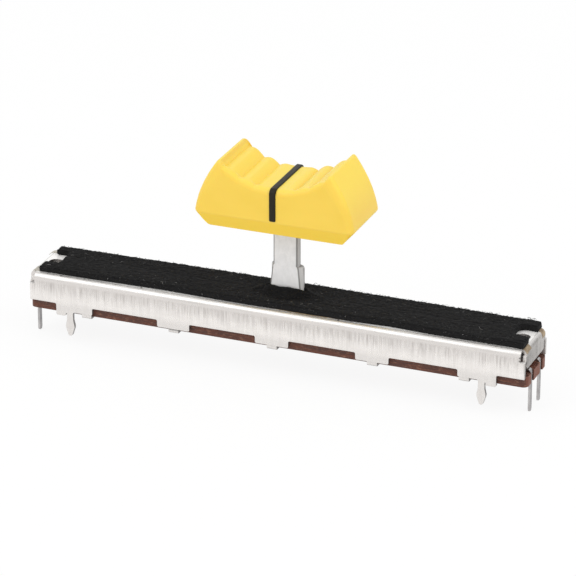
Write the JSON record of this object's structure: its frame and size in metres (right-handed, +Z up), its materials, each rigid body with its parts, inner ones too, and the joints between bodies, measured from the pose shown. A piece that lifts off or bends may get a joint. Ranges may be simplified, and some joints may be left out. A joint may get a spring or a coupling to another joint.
{
  "type": "slide potentiometer",
  "caption": "Slide potentiometer: folded steel body with snap legs and solder pins, felt dust strip, and a steel lever that carries a ridged yellow finger knob.",
  "frame": {"origin": "midway along and across the body, at the level of the terminal tips", "axes": "+X along the travel, towards the end with two terminals; +Z up through the lever to the knob; +Y to the back, away from terminals 1 and 3"},
  "size_m": [0.0756, 0.011, 0.0317],
  "materials": {
    "tinned_steel": "satin tin plate, faintly streaked below the bends",
    "lever_steel": "matt rolled steel",
    "tinned_brass": "satin tin plate over brass",
    "spring_bronze": "rolled phosphor bronze",
    "silver_print": "printed silver paste",
    "carbon_print": "printed carbon, slightly burnished",
    "brown_phenolic": "paper phenolic board with lighter specks at its cut edge",
    "black_felt": "fuzzy needled felt",
    "tan_adhesive": "aged adhesive film",
    "natural_acetal": "unfilled acetal",
    "yellow_plastic": "satin moulded plastic",
    "black_plastic": "semi-gloss"
  },
  "bodies": {
    "housing": {"cover": "tinned_steel", "dust_felt": "black_felt", "felt_adhesive": "tan_adhesive", "resistor_board": "brown_phenolic", "resistive_track": "carbon_print", "collector_track": "silver_print", "track_electrode_left": "silver_print", "track_electrode_right": "silver_print", "terminal_1": "tinned_brass", "terminal_2": "tinned_brass", "terminal_3": "tinned_brass", "terminal_rivet_1": "tinned_brass", "terminal_rivet_2": "tinned_brass", "terminal_rivet_3": "tinned_brass"},
    "slider": {"slider_carriage": "natural_acetal", "wiper": "spring_bronze", "friction_spring": "spring_bronze", "lever": "lever_steel", "knob": "yellow_plastic", "indicator_line": "black_plastic"}
  },
  "joints": [
    {"name": "fader_slide", "type": "slide", "parent": "housing", "child": "slider", "axis": [1, 0, 0], "range_m": [-0.0304, 0.0296]}
  ]
}
